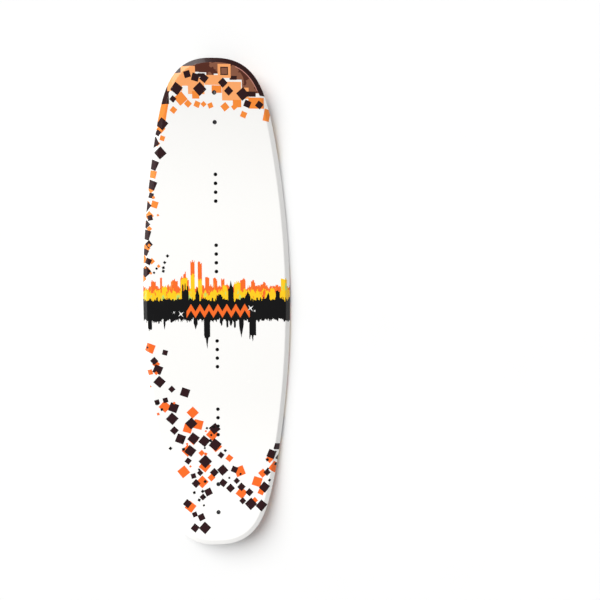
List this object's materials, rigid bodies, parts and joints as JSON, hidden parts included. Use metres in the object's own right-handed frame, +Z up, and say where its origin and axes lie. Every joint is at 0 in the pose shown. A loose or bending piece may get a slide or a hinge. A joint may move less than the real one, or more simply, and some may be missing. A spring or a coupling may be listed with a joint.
{
  "type": "wakeboard",
  "caption": "Bare twin-tip wakeboard with a rockered, channelled base, moulded rails, threaded binding inserts and fin holes.",
  "frame": {"origin": "under the middle of the board, on the floor that the flat of the base rests on", "axes": "+Y along the board towards the nose, +Z up out of the deck, +X to the right when looking from tail to nose with the deck up"},
  "size_m": [0.43, 1.4, 0.0665],
  "materials": {
    "topsheet": "gloss white sheet with printed graphics",
    "base_sheet": "gloss white sheet with printed graphics",
    "rail": "moulded urethane, satin to gloss",
    "laminate": "glass cloth in clear resin",
    "core": "closed cell polyurethane foam",
    "plate": "sawn glass and epoxy plate",
    "insert": "blackened stainless steel",
    "fin_sleeve": "blackened stainless steel"
  },
  "bodies": {
    "root": {"base_sheet": "base_sheet", "base_laminate": "laminate", "foam_core": "core", "top_laminate": "laminate", "deck_topsheet": "topsheet", "left_rail": "rail", "right_rail": "rail", "nose_rail": "rail", "tail_rail": "rail", "front_outer_plate": "plate", "front_inner_plate": "plate", "rear_outer_plate": "plate", "rear_inner_plate": "plate", "front_outer_insert_1": "insert", "front_outer_insert_2": "insert", "front_outer_insert_3": "insert", "front_outer_insert_4": "insert", "front_inner_insert_1": "insert", "front_inner_insert_2": "insert", "front_inner_insert_3": "insert", "front_inner_insert_4": "insert", "rear_outer_insert_1": "insert", "rear_outer_insert_2": "insert", "rear_outer_insert_3": "insert", "rear_outer_insert_4": "insert", "rear_inner_insert_1": "insert", "rear_inner_insert_2": "insert", "rear_inner_insert_3": "insert", "rear_inner_insert_4": "insert", "nose_outer_fin_sleeve": "fin_sleeve", "nose_inner_fin_sleeve": "fin_sleeve", "tail_outer_fin_sleeve": "fin_sleeve", "tail_inner_fin_sleeve": "fin_sleeve"}
  },
  "joints": []
}
